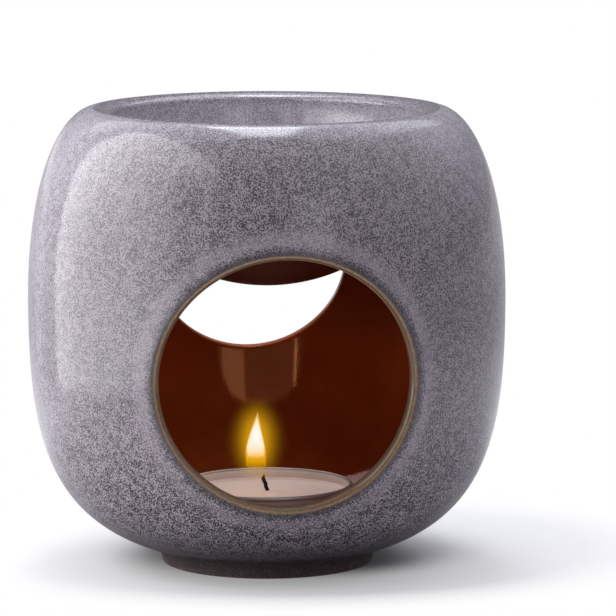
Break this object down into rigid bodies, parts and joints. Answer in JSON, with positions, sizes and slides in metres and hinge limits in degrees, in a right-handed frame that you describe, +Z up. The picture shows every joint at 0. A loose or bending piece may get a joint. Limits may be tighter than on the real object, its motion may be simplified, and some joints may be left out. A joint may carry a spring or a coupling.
{
  "type": "essential oil burner",
  "caption": "Rounded stoneware oil burner with a bowl set into its mouth, round windows front and back, a low foot ring, and a loose tealight on the floor inside.",
  "frame": {"origin": "on the table plane, at the upright axis of the burner", "axes": "+Z up along the axis, the large front window faces -Y and the smaller back window +Y, +X to the right seen from the front"},
  "size_m": [0.105, 0.1032, 0.1005],
  "materials": {
    "speckled_grey_glaze": "gloss, light grey with fine dark speckle outside and dark red-brown inside",
    "bare_stoneware": "dark satin glaze with a bare face under the ring",
    "cup_aluminium": "pressed foil, satin",
    "peach_wax": "waxy satin",
    "charred_wick": "burnt cotton",
    "sustainer_tin": "tin plate"
  },
  "bodies": {
    "burner": {"body_shell": "speckled_grey_glaze", "oil_bowl": "speckled_grey_glaze", "foot_ring": "bare_stoneware"},
    "tealight": {"tealight_cup": "cup_aluminium", "candle_wax": "peach_wax", "wick": "charred_wick", "wick_sustainer": "sustainer_tin"}
  },
  "joints": [
    {"name": "tealight_draw", "type": "slide", "parent": "burner", "child": "tealight", "axis": [0, -0.809, 0.5878], "range_m": [0, 0.095]}
  ]
}
